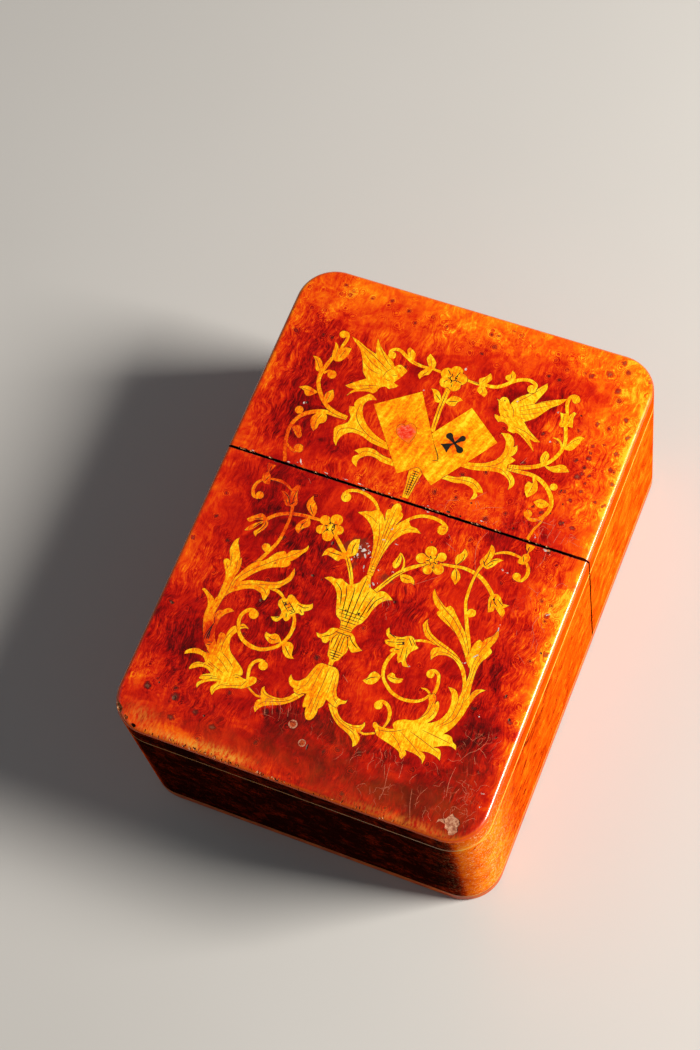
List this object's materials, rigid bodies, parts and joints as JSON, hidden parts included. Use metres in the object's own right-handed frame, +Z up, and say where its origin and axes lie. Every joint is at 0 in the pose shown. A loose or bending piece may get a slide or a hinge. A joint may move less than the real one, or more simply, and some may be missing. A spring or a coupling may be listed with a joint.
{
  "type": "playing card box",
  "caption": "Marquetry playing card box in two halves; the lid pulls off lengthwise over an inner sleeve of thin boards.",
  "frame": {"origin": "middle of the underside of the closed box", "axes": "+Y along the box towards the lid's end, +X across it to the right, +Z up through the marquetry panel"},
  "size_m": [0.075, 0.104, 0.042],
  "materials": {
    "burr_veneer": "old burr veneer under glossy, finely crazed varnish",
    "light_line": "light boxwood line under varnish",
    "carcass_wood": "plain softwood, sawn and planed",
    "sleeve_wood": "thin planed boards, satin from handling",
    "marquetry_wood": "golden fruitwood marquetry with dark engraved lines, under varnish",
    "card_wood": "golden fruitwood with long grain, under varnish",
    "red_pip": "red stained veneer under varnish",
    "black_pip": "black stained veneer under varnish",
    "plug_wood": "end grain of small wooden plugs"
  },
  "bodies": {
    "base": {"base_panel": "burr_veneer", "base_skin": "burr_veneer", "base_edge_band": "burr_veneer", "base_line": "light_line", "base_foot_line": "light_line", "base_top_board": "carcass_wood", "base_wall_left": "carcass_wood", "base_wall_right": "carcass_wood", "base_wall_end": "carcass_wood", "base_plate": "burr_veneer", "sleeve_top": "sleeve_wood", "sleeve_bottom": "sleeve_wood", "sleeve_left": "sleeve_wood", "sleeve_right": "sleeve_wood", "palmette": "marquetry_wood", "tulip_cup": "marquetry_wood", "lower_cup": "marquetry_wood", "bell": "marquetry_wood", "garland_left": "marquetry_wood", "garland_right": "marquetry_wood", "flower_spray_left": "marquetry_wood", "flower_spray_right": "marquetry_wood", "bud_scroll_left": "marquetry_wood", "bud_scroll_right": "marquetry_wood", "acanthus_left": "marquetry_wood", "acanthus_right": "marquetry_wood", "ring_scroll_left": "marquetry_wood", "ring_scroll_right": "marquetry_wood", "round_plugs": "plug_wood"},
    "lid": {"lid_panel": "burr_veneer", "lid_skin": "burr_veneer", "lid_edge_band": "burr_veneer", "lid_line": "light_line", "lid_foot_line": "light_line", "lid_top_board": "carcass_wood", "lid_wall_left": "carcass_wood", "lid_wall_right": "carcass_wood", "lid_wall_end": "carcass_wood", "lid_plate": "burr_veneer", "heart_card": "card_wood", "club_card": "card_wood", "heart_pip": "red_pip", "club_pip": "black_pip", "staff": "card_wood", "centre_flower": "marquetry_wood", "flower_stem": "marquetry_wood", "festoon_left": "marquetry_wood", "festoon_right": "marquetry_wood", "bird_left": "marquetry_wood", "bird_right": "marquetry_wood", "crown_spray_left": "marquetry_wood", "crown_spray_right": "marquetry_wood", "lower_scroll_left": "marquetry_wood", "lower_scroll_right": "marquetry_wood", "lid_leaf_left": "marquetry_wood", "lid_leaf_right": "marquetry_wood"}
  },
  "joints": [
    {"name": "lid_slide", "type": "slide", "parent": "base", "child": "lid", "axis": [0, 1, 0], "range_m": [0, 0.05]}
  ]
}
